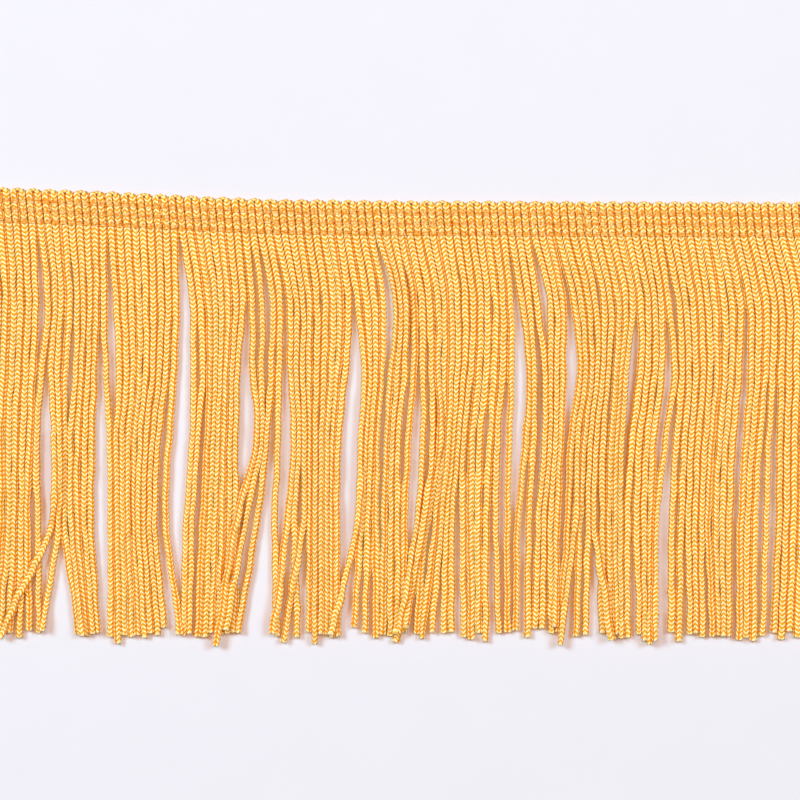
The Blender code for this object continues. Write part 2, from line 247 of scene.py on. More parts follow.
def shaded(
    tree: bpy.types.NodeTree, shades: Sequence[tuple[float, str]], factor: bpy.types.NodeSocket
) -> bpy.types.NodeSocket:
    """Adds a colour ramp.

    Args:
        tree: The material's node tree.
        shades: Places along the ramp, in rising order, and their colours.
        factor: What is looked up on the ramp.

    Returns:
        The ramp's colour.
    """
    ramp = node(tree, "ShaderNodeValToRGB", {}, {"Fac": factor})
    stops = ramp.color_ramp.elements
    for stop, (position, colour) in zip((stops[0], stops[1]), (shades[0], shades[-1])):
        stop.position = position
        stop.color = srgb(colour)
    for position, colour in shades[1:-1]:
        stops.new(position).color = srgb(colour)
    return ramp.outputs["Color"]


@dataclass(frozen=True)
class RayonCordFinish:
    """Viscose rayon filament yarn, knitted into chainette: soft silky lustre, painted pale glints, painted
    orange shade in the creases.

    The shades are painted light and shade: they run from painted shade in the grooves between the wales
    up to painted highlights on the crests of the legs. The UV map runs once round the cord and counts
    stitches along it. A leg of a stitch stands highest half way along a stitch and half way across one of
    the six legs, and the creases lie at whole stitches and between legs.
    """

    name: str = "Viscose rayon chainette, knitted"
    # Painted light and shade, from the grooves to the crests: deep orange painted shade, paler golds, then a
    # pale painted highlight
    shades: tuple[tuple[float, str], ...] = (
        (0.0, "#F28804"),
        (0.10, "#FDB20C"),
        (0.28, "#FDC82E"),
        (0.55, "#FDDF68"),
        (0.96, "#FFFBD2"),
    )
    roughness: float = 0.42
    lustre: float = 0.35
    passed: str = "#FFC038"
    crease_passes: float = 0.36
    crest_passes: float = 0.15
    underside_passes: float = 0.9
    unevenness: float = 0.16
    legs: float = 6.0
    leg_groove: float = 0.14
    wale_groove: float = 0.65
    wale_sharpness: float = 3.0
    waver: float = 0.17
    waver_scale: float = 1300.0
    relief_mm: float = 0.10
    relief_strength: float = 0.8
    filament_mm: float = 0.02
    filament_strength: float = 0.5
    filament_bands: float = 2.4

    def make(self) -> bpy.types.Material:
        """Builds the material.

        Returns:
            A procedural material that reads the cord's own UV map and tone.
        """
        material = bpy.data.materials.new(self.name)
        material.use_nodes = True
        tree = material.node_tree
        shader = tree.nodes["Principled BSDF"]

        def math_of(operation: str, *values: Any, clamp: bool = False) -> bpy.types.NodeSocket:
            """Adds a Math node and returns its output; a value is a socket or a number."""
            plain = {str(i): v for i, v in enumerate(values) if not isinstance(v, bpy.types.NodeSocket)}
            joined = {str(i): v for i, v in enumerate(values) if isinstance(v, bpy.types.NodeSocket)}
            made = node(tree, "ShaderNodeMath", {"operation": operation, "use_clamp": clamp}, joined)
            for i, v in plain.items():
                made.inputs[int(i)].default_value = v
            return made.outputs[0]

        uv = node(tree, "ShaderNodeUVMap", {"uv_map": "cord"}, {})
        split = node(tree, "ShaderNodeSeparateXYZ", {}, {"0": uv.outputs["UV"]})
        around, along = split.outputs[0], split.outputs[1]
        place = node(tree, "ShaderNodeTexCoord", {}, {})
        # Yarn of about 0.35 mm never lies quite even: the pattern wavers by a sixth of a stitch either way
        waver = node(
            tree,
            "ShaderNodeTexNoise",
            {"Scale": self.waver_scale, "Detail": 1.0},
            {"Vector": place.outputs["Object"]},
        )
        shifted = math_of("MULTIPLY_ADD", waver.outputs["Fac"], 2 * self.waver, along)
        wave = math_of("COSINE", math_of("MULTIPLY_ADD", shifted, 2 * math.pi, -self.waver * 2 * math.pi))
        ridge = math_of("MULTIPLY_ADD", wave, -0.5, 0.5)
        # One cosine has its grooves between the legs, and a sharpened slower one has them between the wales
        legs = math_of("COSINE", math_of("MULTIPLY", around, 2 * self.legs * math.pi))
        leg = math_of("MULTIPLY_ADD", legs, -self.leg_groove, 1.0 - self.leg_groove)
        wales = math_of("COSINE", math_of("MULTIPLY", around, self.legs * math.pi))
        sharp = math_of("MULTIPLY_ADD", wales, self.wale_sharpness, 1.0 - self.wale_sharpness)
        sunk = math_of("MULTIPLY", math_of("MAXIMUM", sharp, 0.0), self.wale_groove)
        height = math_of("SUBTRACT", math_of("MULTIPLY", ridge, leg), sunk, clamp=True)
        # Painted light and shade: the ramp turns the relief into deep orange painted shade in the grooves and
        # creases and pale painted highlights on the leg crests
        colour = shaded(tree, self.shades, height)
        tone = node(tree, "ShaderNodeAttribute", {"attribute_name": "tone"}, {})
        # Each leg takes up the dye and the light a little differently, which makes the knit sparkle
        leg_number = math_of("FLOOR", math_of("MULTIPLY", around, self.legs))
        stitch_number = math_of("FLOOR", shifted)
        place_of = node(
            tree, "ShaderNodeCombineXYZ", {}, {"0": leg_number, "1": stitch_number, "2": tone.outputs["Fac"]}
        )
        chance = node(tree, "ShaderNodeTexWhiteNoise", {"noise_dimensions": "3D"}, {"0": place_of.outputs[0]})
        dullest = 1.0 - 0.5 * self.unevenness
        sparkle = math_of("MULTIPLY_ADD", chance.outputs["Value"], self.unevenness, dullest)
        dye = math_of("MULTIPLY", sparkle, tone.outputs["Fac"])
        dye_with_painted_light = node(
            tree,
            "ShaderNodeMix",
            {"data_type": "RGBA", "blend_type": "MULTIPLY", "Factor": 1.0},
            {"6": colour, "7": dye},
        )
        tree.links.new(dye_with_painted_light.outputs[2], shader.inputs["Base Color"])
        # Filaments of 0.02 mm are too fine to show, so bundles of them are drawn, about eight to a stitch
        filaments = node(
            tree,
            "ShaderNodeTexWave",
            {"bands_direction": "Y", "Scale": self.filament_bands, "Distortion": 1.5, "Detail": 1.0},
            {"Vector": uv.outputs["UV"]},
        )
        fine = node(
            tree,
            "ShaderNodeBump",
            {"Strength": self.filament_strength, "Distance": self.filament_mm * MM},
            {"Height": filaments.outputs["Fac"]},
        )
        raised = node(
            tree,
            "ShaderNodeBump",
            {"Strength": self.relief_strength, "Distance": self.relief_mm * MM},
            {"Height": height, "Normal": fine.outputs["Normal"]},
        )
        tree.links.new(raised.outputs["Normal"], shader.inputs["Normal"])
        shader.inputs["Roughness"].default_value = self.roughness
        shader.inputs["Specular IOR Level"].default_value = self.lustre
        # The thin yarn between the stitches passes much of the light on, and the full crests little
        thin = math_of("MULTIPLY_ADD", height, self.crest_passes - self.crease_passes, self.crease_passes)
        # The underside passes on most of the light inside the tube, so the floor beside it is warm
        turn = math_of("MULTIPLY_ADD", around, 2 * math.pi, -UNDERSIDE_TURN)
        under = math_of("MULTIPLY", math_of("COSINE", turn), self.underside_passes)
        let_through(tree, shader, self.passed, math_of("MAXIMUM", thin, under))
        return material


@dataclass(frozen=True)
class BindingThreadFinish:
    """Spun thread crocheted round the cords: matte, a shade more orange, with painted light and shade on its
    loops and a bumped twist.
    """

    name: str = "Spun rayon binding thread, crocheted"
    # Painted light and shade of the loops: a pale painted highlight at a patch's middle, orange painted shade
    # at its edge
    shades: tuple[tuple[float, str], ...] = ((0.16, "#FFF2B8"), (0.46, "#FFBE45"), (0.78, "#F08A10"))
    roughness: float = 0.65
    lustre: float = 0.35
    mottle_mm: float = 0.75
    mottle_chance: float = 0.8
    twist_mm: float = 0.03
    twist_strength: float = 0.4
    twist_bands: float = 1.6
    passed: str = "#FF8A18"
    passes: float = 0.25

    def make(self) -> bpy.types.Material:
        """Builds the material.

        Returns:
            A procedural material that reads object coordinates and the thread's own UV map.
        """
        material = bpy.data.materials.new(self.name)
        material.use_nodes = True
        tree = material.node_tree
        shader = tree.nodes["Principled BSDF"]
        place = node(tree, "ShaderNodeTexCoord", {}, {})
        # Loops of 0.3 mm are too fine to show one by one, so wider patches of painted light and shade are
        # drawn: a pale painted highlight at each patch's middle, orange painted shade towards its edge
        loops = node(
            tree,
            "ShaderNodeTexVoronoi",
            {"feature": "F1", "Scale": 1.0 / (self.mottle_mm * MM), "Randomness": self.mottle_chance},
            {"Vector": place.outputs["Object"]},
        )
        tree.links.new(shaded(tree, self.shades, loops.outputs["Distance"]), shader.inputs["Base Color"])
        uv = node(tree, "ShaderNodeUVMap", {"uv_map": "cord"}, {})
        twist = node(
            tree,
            "ShaderNodeTexWave",
            {"bands_direction": "DIAGONAL", "Scale": self.twist_bands, "Distortion": 1.0, "Detail": 2.0},
            {"Vector": uv.outputs["UV"]},
        )
        bump = node(
            tree,
            "ShaderNodeBump",
            {"Strength": self.twist_strength, "Distance": self.twist_mm * MM},
            {"Height": twist.outputs["Fac"]},
        )
        tree.links.new(bump.outputs["Normal"], shader.inputs["Normal"])
        shader.inputs["Roughness"].default_value = self.roughness
        shader.inputs["Specular IOR Level"].default_value = self.lustre
        let_through(tree, shader, self.passed, self.passes)
        return material


@dataclass(frozen=True)
class PaperFloorFinish:
    """Coated backdrop paper, rolled: pale, faintly lavender and quite matte, with a barely seen grain."""

    name: str = "Backdrop paper, matte coated"
    shades: tuple[tuple[float, str], ...] = ((0.0, "#CDCDD2"), (1.0, "#CFCFD4"))
    grain_scale: float = 60.0
    roughness: float = 0.85
    lustre: float = 0.2

    def make(self) -> bpy.types.Material:
        """Builds the material.

        Returns:
            A procedural material on object coordinates.
        """
        material = bpy.data.materials.new(self.name)
        material.use_nodes = True
        tree = material.node_tree
        shader = tree.nodes["Principled BSDF"]
        place = node(tree, "ShaderNodeTexCoord", {}, {})
        grain = node(
            tree,
            "ShaderNodeTexNoise",
            {"Scale": self.grain_scale, "Detail": 3.0},
            {"Vector": place.outputs["Object"]},
        )
        tree.links.new(shaded(tree, self.shades, grain.outputs["Fac"]), shader.inputs["Base Color"])
        shader.inputs["Roughness"].default_value = self.roughness
        shader.inputs["Specular IOR Level"].default_value = self.lustre
        return material


@dataclass
class Surface:
    """Points, four-sided faces and the values that the finishes read, gathered from many small grids."""

    points: list[np.ndarray] = field(default_factory=list)
    quads: list[np.ndarray] = field(default_factory=list)
    caps: list[np.ndarray] = field(default_factory=list)
    tone: list[np.ndarray] = field(default_factory=list)
    quad_uv: list[np.ndarray] = field(default_factory=list)
    cap_uv: list[np.ndarray] = field(default_factory=list)
    count: int = 0

    def add(self, grid: np.ndarray, tone: float, closed: bool, stitch_rows: float) -> None:
        """Adds a tube: rows of points along it, each a ring around it.

        Faces join each point to the next one along and the next one around. A tube with two ends gets a
        middle point in each end ring and a fan of triangles around it; a closed one joins its last row to
        its first.

        Args:
            grid: Points as rows by columns by three, with the columns running round from the side to the top.
            tone: Brightness of the whole tube's dye.
            closed: Whether the tube runs back into itself.
            stitch_rows: Rows for one unit of the UV map's second axis.
        """
        rows, columns, _ = grid.shape
        here = self.count
        steps = rows if closed else rows - 1
        i = np.arange(steps)[:, None]
        j = np.arange(columns)[None, :]
        after = (i + 1) % rows
        around = (j + 1) % columns
        corner = [i * columns + j, after * columns + j, after * columns + around, i * columns + around]
        self.quads.append(np.stack(np.broadcast_arrays(*corner), axis=-1).reshape(-1, 4) + here)
        low, high = i / stitch_rows, (i + 1) / stitch_rows
        left, right = j / columns, (j + 1) / columns
        uv = [(left, low), (left, high), (right, high), (right, low)]
        shaped = [np.stack(np.broadcast_arrays(u, v), axis=-1) for u, v in uv]
        self.quad_uv.append(np.stack(shaped, axis=2).reshape(-1, 2))
        points = [grid.reshape(-1, 3)]
        if not closed:
            points += [grid[0].mean(axis=0, keepdims=True), grid[-1].mean(axis=0, keepdims=True)]
            ring = np.arange(columns)
            following = (ring + 1) % columns
            middle = here + rows * columns
            last = here + (rows - 1) * columns
            self.caps.append(np.stack([np.full(columns, middle), here + ring, here + following], axis=-1))
            self.caps.append(np.stack([np.full(columns, middle + 1), last + following, last + ring], axis=-1))
            self.cap_uv.append(np.tile(np.array(CAP_UV), (2 * columns * 3, 1)))
        added = np.concatenate(points)
        self.points.append(added)
        self.tone.append(np.full(len(added), tone))
        self.count += len(added)

    def piece(self, name: str, material: bpy.types.Material) -> bpy.types.Object:
        """Makes the mesh object of all that was added.

        Args:
            name: The piece's name.
            material: Its finish.

        Returns:
            The object, at the origin, with smooth faces, its UV map and its tone.
        """
        mesh = bpy.data.meshes.new(name)
        points = np.concatenate(self.points)
        quads = np.concatenate(self.quads)
        caps = np.concatenate(self.caps) if self.caps else np.zeros((0, 3), int)
        uv = np.concatenate(self.quad_uv + self.cap_uv)
        mesh.from_pydata(points.tolist(), [], quads.tolist() + caps.tolist())
        mesh.uv_layers.new(name="cord").data.foreach_set("uv", uv.astype(np.float32).ravel())
        tone = np.concatenate(self.tone).astype(np.float32)
        mesh.attributes.new("tone", "FLOAT", "POINT").data.foreach_set("value", tone)
        mesh.polygons.foreach_set("use_smooth", np.ones(len(mesh.polygons), bool))
        mesh.materials.append(material)
        mesh.validate()
        mesh.update()
        made = bpy.data.objects.new(name, mesh)
        bpy.context.scene.collection.objects.link(made)
        LOG.info("%s: %d triangles", name, 2 * len(quads) + len(caps))
        return made


def photo_place(x: np.ndarray, y: np.ndarray) -> tuple[np.ndarray, np.ndarray]:
    """Turns places in the photograph into X and Y in metres."""
    return (x - ORIGIN_PHOTO_X) * PX, (ORIGIN_PHOTO_Y - y) * PX


def column_line(number: np.ndarray) -> np.ndarray:
    """Photo place along the top edge of a column's middle: even steps plus half a slow sine wave of drift."""
    drift = PITCH_DRIFT_PHOTO * np.sin(math.pi * number / PITCH_DRIFT_CORDS)
    return CORD_ZERO_PHOTO + PITCH_PHOTO * number + drift


def heading_top(x: np.ndarray) -> np.ndarray:
    """Photo height of the heading's top edge, by straight lines between the table's rows."""
    return np.interp(x, HEADING_TOP_AT, HEADING_TOP_PHOTO)


def on_heading(number: np.ndarray, down: np.ndarray) -> tuple[np.ndarray, np.ndarray]:
    """X and Y of points a distance below the top edge, on columns that lean to the right as they go down."""
    top_x = column_line(number)
    down_photo = down / PX
    return photo_place(top_x + COLUMN_LEAN * down_photo, heading_top(top_x) + down_photo)


@dataclass
class CordLay:
    """How the cords lie below the heading: the photo's places, settled so that they touch, stack and rest.

    Each cord is a row of photo places and heights at even steps down the photo. Where two come closer than
    their width, they are pushed apart a little sideways and, for the rest, the upper one is raised until
    the distance between their middles is their width. Heights are smoothed along the cord and pulled down
    between the rounds, so a crossing becomes a long low hump.
    """

    radius_mm: float = 0.97
    spread_share: float = 1.22
    squeezed_share: float = 0.82
    mesh_share: float = 1.11
    contact_mm: float = 1.62
    top_photo: float = 215.0
    end_photo: float = 648.0
    step_photo: float = 3.0
    reach: int = 8
    rounds: int = 220
    last_rounds: int = 20
    free_photo: float = 12.0
    order_spread: float = 0.25
    order_weight: float = 0.05
    smoothing: float = 0.45
    pull_down: float = 0.04
    pull_back: float = 0.06
    drift_smoothing: float = 0.3
    push_aside: float = 0.12
    loosening: float = 0.1
    wander_photo: float = 0.22
    wander_start_photo: float = 60.0
    wander_waves_photo: tuple[float, ...] = (38.0, 61.0, 97.0)
    seed: int = 5
    heights: np.ndarray = field(init=False)
    numbers: np.ndarray = field(init=False)
    across: np.ndarray = field(init=False)
    lift: np.ndarray = field(init=False)
    width: np.ndarray = field(init=False)

    def __post_init__(self) -> None:
        """Works out the lay."""
        self.numbers = np.arange(FIRST_CORD, LAST_CORD + 1)
        self.heights = np.arange(self.top_photo, self.end_photo, self.step_photo)
        self.across = self.guided()
        self.settle()

    def fallen(self) -> np.ndarray:
        """Photo places of every cord at the five fall heights, by straight lines between the guide cords."""
        guides = [fall.cord for fall in FALLS]
        rows = [(f.upper, f.high, f.middle, f.low, f.bottom) for f in FALLS]
        return np.stack([np.interp(self.numbers, guides, column) for column in zip(*rows)], axis=1)

    def roots(self) -> tuple[np.ndarray, np.ndarray]:
        """Photo place and height at which each cord leaves the heading."""
        top_x = column_line(self.numbers)
        down = HEADING_WIDTH / PX
        return top_x + COLUMN_LEAN * down, heading_top(top_x) + down

    def guided(self) -> np.ndarray:
        """Photo places along every cord, by a smooth curve through the root and the fall heights.

        Between two rows of the table the curve is a cubic whose slopes at the rows are those of the chord
        between the rows before and after. Above the root it follows the column's lean, and past the last
        row it goes straight on. A slow sine wander of a fraction of a pixel is added.

        Returns:
            Cords by heights.
        """
        root_x, root_y = self.roots()
        knots_y = np.column_stack([root_y, np.tile(FALL_HEIGHTS, (len(self.numbers), 1))])
        knots_x = np.column_stack([root_x, self.fallen()])
        last = knots_y.shape[1] - 1
        y = np.broadcast_to(self.heights, (len(self.numbers), len(self.heights)))
        span = np.clip((y[:, :, None] > knots_y[:, None, :]).sum(axis=2), 1, last)
        before, after = np.maximum(span - 2, 0), np.minimum(span + 1, last)

        def at(table: np.ndarray, index: np.ndarray) -> np.ndarray:
            """Reads each cord's row of a table at an array of places."""
            return np.take_along_axis(table, index, axis=1)

        y0, y1, x0, x1 = at(knots_y, span - 1), at(knots_y, span), at(knots_x, span - 1), at(knots_x, span)
        length = y1 - y0
        slope_in = (x1 - at(knots_x, before)) / (y1 - at(knots_y, before))
        slope_out = (at(knots_x, after) - x0) / (at(knots_y, after) - y0)
        t = np.clip((y - y0) / length, 0.0, 1.0)
        curve = (2 * t**3 - 3 * t**2 + 1) * x0 + (3 * t**2 - 2 * t**3) * x1
        curve += (t**3 - 2 * t**2 + t) * slope_in * length + (t**3 - t**2) * slope_out * length
        curve += np.maximum(y - y1, 0.0) * (x1 - x0) / length
        curve += np.minimum(y - root_y[:, None], 0.0) * COLUMN_LEAN
        rng = np.random.default_rng(self.seed)
        below = np.clip((y - root_y[:, None]) / self.wander_start_photo, 0.0, 1.0)
        for wavelength in self.wander_waves_photo:
            phase = rng.uniform(0.0, 2 * math.pi, (len(self.numbers), 1))
            curve += below * self.wander_photo * np.sin(2 * math.pi * y / wavelength + phase)
        return curve

    def settle(self) -> None:
        """Settles places and heights by rounds of pulling down, smoothing and pushing apart.

        The last rounds only part the cords in height, so that none stays inside another. Near the heading,
        where they are held side by side, they aren't pushed at all.
        """
        radius = self.radius_mm * MM / PX
        contact = self.contact_mm * MM / PX
        rng = np.random.default_rng(self.seed + 1)
        over = np.isin(self.numbers, [fall.cord for fall in FALLS if fall.over])
        order = rng.uniform(0.0, self.order_spread, len(self.numbers)) + 1.0 * over
        target = self.across.copy()
        x = target.copy()
        z = radius + np.broadcast_to(order[:, None], x.shape).copy()
        free = np.clip((self.heights[None, :] - self.roots()[1][:, None]) / self.free_photo, 0.0, 1.0)
        for turn in range(self.rounds):
            settling = turn < self.rounds - self.last_rounds
            if settling:
                z[:, 1:-1] += self.smoothing * (0.5 * (z[:, :-2] + z[:, 2:]) - z[:, 1:-1])
                z -= self.pull_down * (z - radius)
                x += self.pull_back * (target - x)
                drift = x - target
                x[:, 1:-1] += self.drift_smoothing * (0.5 * (drift[:, :-2] + drift[:, 2:]) - drift[:, 1:-1])
            for k in range(1, self.reach + 1):
                dx = x[k:] - x[:-k]
                dz = z[k:] - z[:-k]
                upper = np.sign(dz + self.order_weight * (order[k:] - order[:-k])[:, None])
                needed = np.sqrt(np.maximum(contact**2 - dx**2, 0.0))
                short = np.maximum(needed - upper * dz, 0.0) * (np.abs(dx) < contact)
                short *= np.minimum(free[k:], free[:-k])
                z[k:] += 0.5 * upper * short
                z[:-k] -= 0.5 * upper * short
                if settling:
                    room = contact - np.minimum(np.abs(dx), contact)
                    side = np.minimum(short, room) * self.push_aside * np.sign(dx)
                    x[k:] += side
                    x[:-k] -= side
            z = np.maximum(z, radius)
        self.across = x
        self.lift = z
        self.width = self.squeezed(x, z, radius)

    def squeezed(self, x: np.ndarray, z: np.ndarray, radius: float) -> np.ndarray:
        """Half the width of each cord: limp tubes fill the room up to their neighbours, between two limits.

        A cord whose neighbours leave more room than the upper limit keeps its own radius; the change is a
        straight line over a tenth of the radius. Where one lies higher than the other by a radius they
        don't press. The stitches of cords side by side mesh into each other a little.

        Args:
            x: Photo places of the cords.
            z: Their heights above the floor.
            radius: The cord's own radius.

        Returns:
            Cords by heights.
        """
        widest, narrowest = self.spread_share * radius, self.squeezed_share * radius
        width = np.full_like(x, widest)
        loose = np.zeros_like(x)
        beside = np.zeros_like(x)
        for k in (1, 2):
            apart = np.hypot(x[k:] - x[:-k], z[k:] - z[:-k]) / 2
            level = np.abs(z[k:] - z[:-k]) < radius
            room = np.where(level, np.clip(apart, narrowest, widest), widest)
            width[k:] = np.minimum(width[k:], room)
            width[:-k] = np.minimum(width[:-k], room)
            if k == 1:
                spare = np.clip((apart - widest) / (self.loosening * radius), 0.0, 1.0)
                free = np.where(level, spare, 0.0)
                loose[k:] = np.maximum(loose[k:], free)
                loose[:-k] = np.maximum(loose[:-k], free)
                near = np.where(level, 1.0 - free, 0.0)
                beside[k:] = np.maximum(beside[k:], near)
                beside[:-k] = np.maximum(beside[:-k], near)
        width = np.minimum(width, widest - loose * (widest - radius))
        return width * (1.0 + (self.mesh_share - 1.0) * beside)

    def tips(self) -> np.ndarray:
        """Photo height of each cord's cut end: a seeded spread round one height, then those that stand out."""
        spread = np.random.default_rng(TIP_SEED)
        tips = TIP_PHOTO + spread.uniform(-TIP_SPREAD_PHOTO, TIP_SPREAD_PHOTO, len(self.numbers))
        for table in (LONG_TIPS, LONG_TIPS_RIGHT, SHORT_TIPS, SHORT_TIPS_RIGHT):
            for cord, height in table.items():
                tips[cord - FIRST_CORD] = height
        return tips


@dataclass(frozen=True)
class KnitTube:
    """Chainette cord: a narrow tube of three knitted wales, so six slanting legs of stitches lie round it.

    The surface is a grid of rows along the cord and twelve columns round it. Each row zigzags along the
    cord: it is level with the cord's path at the gaps between the wales and moves on by a share of a stitch
    at each wale's middle. Every third row lies low, in the crease between two stitches, so each leg is a
    rounded slanting ridge.
    """

    stitch_mm: float = 1.24
    slant: float = 0.82
    row_swell: tuple[float, ...] = (0.89, 1.02, 1.02)
    column_swell: tuple[float, ...] = (0.92, 1.0, 0.95, 1.0)
    column_slant: tuple[float, ...] = (0.0, 0.5, 1.0, 0.5)
    wales: int = 3
    unevenness: float = 0.03
    squareness: float = 0.82
    end_mm: float = 0.16
    end_swell: float = 0.92

    def grid(
        self,
        path: np.ndarray,
        half_width: np.ndarray,
        half_height: np.ndarray,
        spin: float,
        twist: float,
        rng: np.random.Generator,
        backwards: bool = False,
    ) -> np.ndarray:
        """Surface points of one cord.

        Each point lies at its row's distance along the path, moved on by its column's share of the slant,
        and out from the path by half the width times a power of the cosine and half the height times the
        sine of its angle, both times the row's and the column's swell. The angle turns slowly along the
        cord.

        Args:
            path: Points along the cord's middle.
            half_width: Half the cord's width at those points.
            half_height: Half its height there.
            spin: Angle of the first column at the start.
            twist: How far the angle turns from end to end.
            rng: Source of the small unevenness of the stitches.
            backwards: Whether the cord was knitted the other way along.

        Returns:
            The grid of points, rows by columns by three.
        """
        length_of = np.concatenate([[0.0], np.cumsum(np.linalg.norm(np.diff(path, axis=0), axis=1))])
        total = length_of[-1] - self.end_mm * MM
        slant = self.slant * self.stitch_mm * MM
        stitches = max(int(round((total - slant) / (self.stitch_mm * MM))), 2)
        rows_per_stitch = len(self.row_swell)
        rows = stitches * rows_per_stitch + 2
        columns = self.wales * len(self.column_swell)
        share = np.tile(self.column_slant, self.wales)
        if backwards:
            share = 1.0 - share
        along = np.linspace(0.0, total - slant, rows)[:, None] + slant * share[None, :]
        along = np.vstack([along, np.full(columns, length_of[-1])])
        tangent = np.gradient(path, length_of, axis=0)

        def sample(values: np.ndarray) -> np.ndarray:
            """Reads values along the path at every grid point."""
            return np.interp(along, length_of, values)

        middle = np.stack([sample(path[:, k]) for k in range(3)], axis=-1)
        ahead = np.stack([sample(tangent[:, k]) for k in range(3)], axis=-1)
        ahead /= np.linalg.norm(ahead, axis=-1, keepdims=True)
        side = np.cross(ahead, np.array([0.0, 0.0, 1.0]))
        side /= np.linalg.norm(side, axis=-1, keepdims=True)
        up = np.cross(side, ahead)
        angle = 2 * math.pi * np.arange(columns)[None, :] / columns + spin + twist * along / total
        stitch_of = np.minimum(np.arange(rows + 1) // rows_per_stitch, stitches)
        uneven = 1.0 + self.unevenness * rng.standard_normal((stitches + 1, self.wales * 2))
        leg_of = np.arange(columns) // 2
        row_swell = np.append(np.tile(self.row_swell, stitches + 1)[:rows], self.end_swell)
        swell = row_swell[:, None] * np.tile(self.column_swell, self.wales)[None, :]
        swell = swell * uneven[stitch_of][:, leg_of]
        across = np.sign(np.cos(angle)) * np.abs(np.cos(angle)) ** self.squareness
        out = sample(half_width)[..., None] * across[..., None] * side
        out = out + sample(half_height)[..., None] * np.sin(angle)[..., None] * up
        return middle + swell[..., None] * out


@dataclass
class Fringe:
    """The hanging cords, from under the heading's last binding row to their cut ends, in four pieces."""

    lay: CordLay
    tube: KnitTube = field(default_factory=KnitTube)
    pieces: int = 4
    under_heading_mm: float = 0.9
    step_photo: float = 2.0
    spin_spread: float = 0.22
    twist_spread: float = 0.4
    tone_spread: float = 0.02
    seed: int = 21

    def cord_path(self, index: int) -> tuple[np.ndarray, np.ndarray, np.ndarray]:
        """Middle line, half width and half height of one cord, from its root to its cut end.

        Args:
            index: The cord's place in the row.

        Returns:
            Points along the cord, half its width and half its height at each.
        """
        lay = self.lay
        root_y = lay.roots()[1][index] - self.under_heading_mm * MM / PX
        tip_y = lay.tips()[index]
        heights = np.append(np.arange(root_y, tip_y, self.step_photo), tip_y)
        across = np.interp(heights, lay.heights, lay.across[index])
        width = np.interp(heights, lay.heights, lay.width[index])
        radius = lay.radius_mm * MM / PX
        height = radius * np.sqrt(radius / width)
        lift = np.interp(heights, lay.heights, lay.lift[index]) + height - radius
        x, y = photo_place(across, heights)
        return np.column_stack([x, y, lift * PX]), width * PX, height * PX

    def build(self, finish: bpy.types.Material) -> list[bpy.types.Object]:
        """Builds the pieces.

        Args:
            finish: The cord's material.

        Returns:
            The pieces, from left to right.
        """
        rng = np.random.default_rng(self.seed)
        stitch_rows = float(len(self.tube.row_swell))
        made = []
        for part, indices in enumerate(np.array_split(np.arange(len(self.lay.numbers)), self.pieces)):
            surface = Surface()
            for index in indices:
                path, width, height = self.cord_path(index)
                spin = WALE_UP + rng.normal(0.0, self.spin_spread)
                twist = rng.normal(0.0, self.twist_spread)
                backwards = bool(self.lay.numbers[index] % 2)
                grid = self.tube.grid(path, width, height, spin, twist, rng, backwards)
                surface.add(grid, 1.0 + rng.normal(0.0, self.tone_spread), False, stitch_rows)
            piece = surface.piece(f"fringe_cords_{part + 1}", finish)
            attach(piece, "root")
            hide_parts("fringe")
            made.append(piece)
        return made


@dataclass
class CutEnds:
    """The fray of the cut cords: a few loose filament bundles that stand out of each end."""

    fringe: Fringe
    filaments: int = 9
    root_share: float = 0.72
    root_mm: float = 0.3
    length_mm: float = 0.55
    shortest_share: float = 0.3
    thick_mm: float = 0.065
    spread: float = 0.35
    lean_shares: tuple[float, ...] = (1.0, 1.0, 0.5)
    bends: tuple[float, ...] = (0.0, 0.6, 1.0)
    taper: tuple[float, ...] = (1.0, 0.9, 0.3)
    stitch_rows: float = 4.0
    seed: int = 55

    def build(self, finish: bpy.types.Material) -> bpy.types.Object:
        """Builds the fray of all cords as one piece.

        Each filament starts a little inside the cut end, at an even angle round it and well out from its
        middle, and runs on along the cord with a chance lean to any side. It is a three-sided spike with a
        bend.

        Args:
            finish: The cord's material.

        Returns:
            The piece.
        """
        rng = np.random.default_rng(self.seed)
        surface = Surface()
        corner = 2 * math.pi * np.arange(3) / 3
        steps = np.array(self.bends)
        thick = self.thick_mm * MM * np.array(self.taper)
        for index in range(len(self.fringe.lay.numbers)):
            path, width, height = self.fringe.cord_path(index)
            ahead = path[-1] - path[-2]
            ahead /= np.linalg.norm(ahead)
            side = np.cross(ahead, np.array([0.0, 0.0, 1.0]))
            up = np.cross(side, ahead)
            for turn in 2 * math.pi * np.arange(self.filaments) / self.filaments + rng.uniform(0.0, 1.0):
                rim = width[-1] * math.cos(turn) * side + height[-1] * math.sin(turn) * up
                root = path[-1] + self.root_share * rim - self.root_mm * MM * ahead
                lean = self.spread * rng.standard_normal(3) * self.lean_shares
                reach = (self.root_mm + self.length_mm * rng.uniform(self.shortest_share, 1.0)) * MM
                middle = root + reach * (steps[:, None] * ahead + 0.5 * (steps**2)[:, None] * lean)
                middle[:, 2] = np.maximum(middle[:, 2], 2 * self.thick_mm * MM)
                ring = np.cos(corner)[:, None] * side + np.sin(corner)[:, None] * up
                grid = middle[:, None, :] + thick[:, None, None] * ring[None, :, :]
                surface.add(grid, 1.0, False, self.stitch_rows)
        piece = surface.piece("cut_end_fray", finish)
        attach(piece, "root")
        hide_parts("fringe")
        return piece


